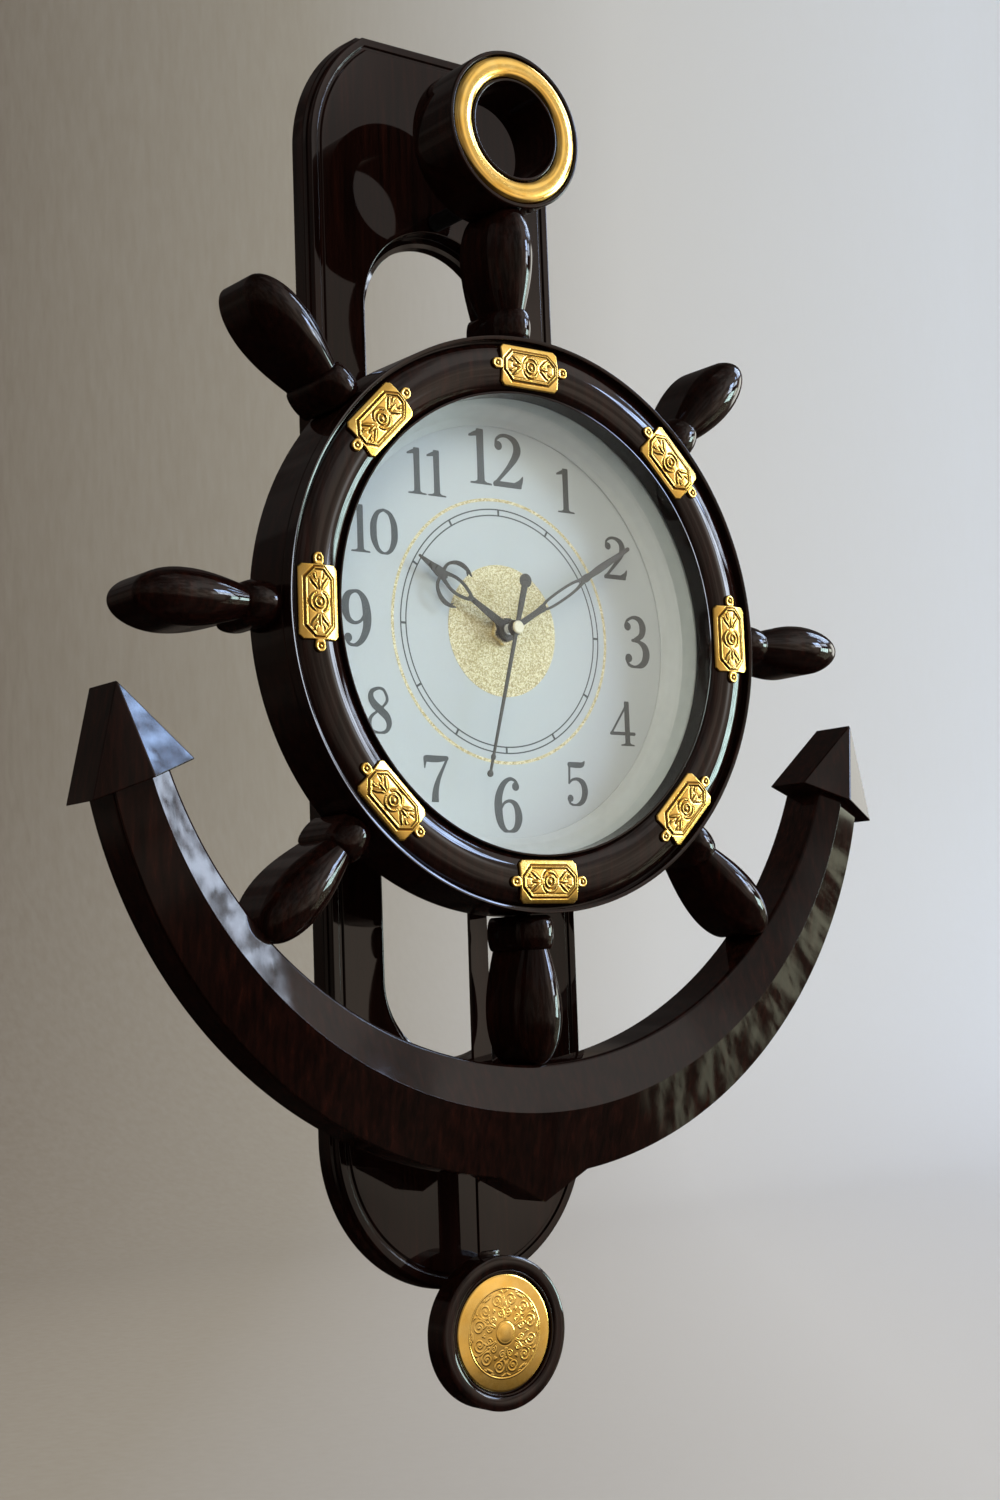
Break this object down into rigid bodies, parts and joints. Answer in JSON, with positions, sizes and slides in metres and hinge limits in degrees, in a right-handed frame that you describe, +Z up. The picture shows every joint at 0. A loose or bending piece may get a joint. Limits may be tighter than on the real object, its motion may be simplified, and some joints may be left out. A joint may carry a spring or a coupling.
{
  "type": "ship wheel wall clock",
  "caption": "Round wall clock in a ship's wheel with turned handles, carried in an anchor on a tall slotted backboard, with a swinging pendulum below.",
  "frame": {"origin": "wall nail, at the top of the keyhole in the hanger plate, on the wall plane", "axes": "+X to the right seen from the front, +Y into the wall, +Z up"},
  "size_m": [0.3546, 0.0693, 0.5256],
  "materials": {
    "lacquer": "very dark brown lacquer, high gloss, with reddish wood streaks",
    "gold": "bright gold plating, darker in the recesses",
    "hand_metal": "dark grey-bronze sheet",
    "steel": "plain zinc-plated sheet",
    "brass": "turned brass",
    "glass": "clear flat lens",
    "dial": "printed off-white dial with a gold glitter centre",
    "black_plastic": "moulded black plastic",
    "white_plastic": "moulded natural plastic",
    "copper": "enamelled copper winding",
    "circuit": "green circuit board",
    "battery_jacket": "plain dark battery jacket"
  },
  "bodies": {
    "frame": {"backboard": "lacquer", "hanger_plate": "steel", "boss": "lacquer", "boss_trim_ring": "gold", "top_standoff": "black_plastic", "wheel_standoff_upper_left": "black_plastic", "wheel_standoff_upper_right": "black_plastic", "wheel_standoff_lower_left": "black_plastic", "wheel_standoff_lower_right": "black_plastic", "wheel_drum": "lacquer", "bezel": "lacquer", "glass": "glass", "dial": "dial", "cartouche_n": "gold", "cartouche_ne": "gold", "cartouche_e": "gold", "cartouche_se": "gold", "cartouche_s": "gold", "cartouche_sw": "gold", "cartouche_w": "gold", "cartouche_nw": "gold", "handle_n": "lacquer", "handle_ne": "lacquer", "handle_e": "lacquer", "handle_se": "lacquer", "handle_s": "lacquer", "handle_sw": "lacquer", "handle_w": "lacquer", "handle_nw": "lacquer", "anchor_arc": "lacquer", "fluke_left": "lacquer", "fluke_right": "lacquer", "movement_case": "black_plastic", "movement_cover": "black_plastic", "dial_ring": "white_plastic", "hex_nut": "brass", "battery_contact_pos": "steel", "battery_contact_neg": "steel", "stator": "steel", "motor_coil": "copper", "circuit_board": "circuit", "drive_coil": "copper"},
    "battery": {"battery": "battery_jacket"},
    "seconds": {"seconds_wheel": "white_plastic", "second_hand": "hand_metal", "hub_cap": "gold"},
    "intermediate": {"intermediate_wheel": "white_plastic"},
    "rotor": {"rotor": "steel"},
    "third": {"third_wheel": "white_plastic"},
    "centre": {"centre_wheel": "white_plastic"},
    "minutes": {"minute_arbor": "white_plastic", "minute_hand": "hand_metal"},
    "setting": {"minute_wheel": "white_plastic", "setting_knob": "black_plastic"},
    "hours": {"hour_wheel": "white_plastic", "hour_hand": "hand_metal"},
    "pendulum": {"pendulum_hanger": "white_plastic", "pendulum_rod": "lacquer", "bob_case": "lacquer", "bob_medallion": "gold"}
  },
  "joints": [
    {"name": "seconds_spin", "type": "hinge", "parent": "frame", "child": "seconds", "pos_m": [0, -0.04, -0.19], "axis": [0, 1, 0], "continuous": true},
    {"name": "intermediate_spin", "type": "hinge", "parent": "frame", "child": "intermediate", "pos_m": [-0.00442, -0.027, -0.1931], "axis": [0, 1, 0], "continuous": true},
    {"name": "rotor_spin", "type": "hinge", "parent": "frame", "child": "rotor", "pos_m": [-0.00958, -0.03, -0.19671], "axis": [0, 1, 0], "continuous": true},
    {"name": "third_spin", "type": "hinge", "parent": "frame", "child": "third", "pos_m": [0.00541, -0.031, -0.18459], "axis": [0, 1, 0], "continuous": true},
    {"name": "centre_spin", "type": "hinge", "parent": "frame", "child": "centre", "pos_m": [0, -0.034, -0.19], "axis": [0, 1, 0], "continuous": true},
    {"name": "minutes_spin", "type": "hinge", "parent": "frame", "child": "minutes", "pos_m": [0, -0.04, -0.19], "axis": [0, 1, 0], "continuous": true},
    {"name": "setting_spin", "type": "hinge", "parent": "frame", "child": "setting", "pos_m": [0.00566, -0.035, -0.19566], "axis": [0, 1, 0], "continuous": true},
    {"name": "hours_spin", "type": "hinge", "parent": "frame", "child": "hours", "pos_m": [0, -0.04, -0.19], "axis": [0, 1, 0], "continuous": true},
    {"name": "pendulum_swing", "type": "hinge", "parent": "frame", "child": "pendulum", "pos_m": [0, -0.0212, -0.218], "axis": [0, 1, 0], "range_deg": [-6, 6]},
    {"name": "battery_slide", "type": "slide", "parent": "frame", "child": "battery", "axis": [0, 1, 0], "range_m": [0, 0.03]}
  ],
  "couplings": [
    {"joint": "intermediate_spin", "follows": "seconds_spin", "ratio": -5},
    {"joint": "rotor_spin", "follows": "seconds_spin", "ratio": 30},
    {"joint": "third_spin", "follows": "seconds_spin", "ratio": -0.13333},
    {"joint": "centre_spin", "follows": "seconds_spin", "ratio": 0.016667},
    {"joint": "setting_spin", "follows": "minutes_spin", "ratio": -0.33333},
    {"joint": "hours_spin", "follows": "minutes_spin", "ratio": 0.083333}
  ]
}
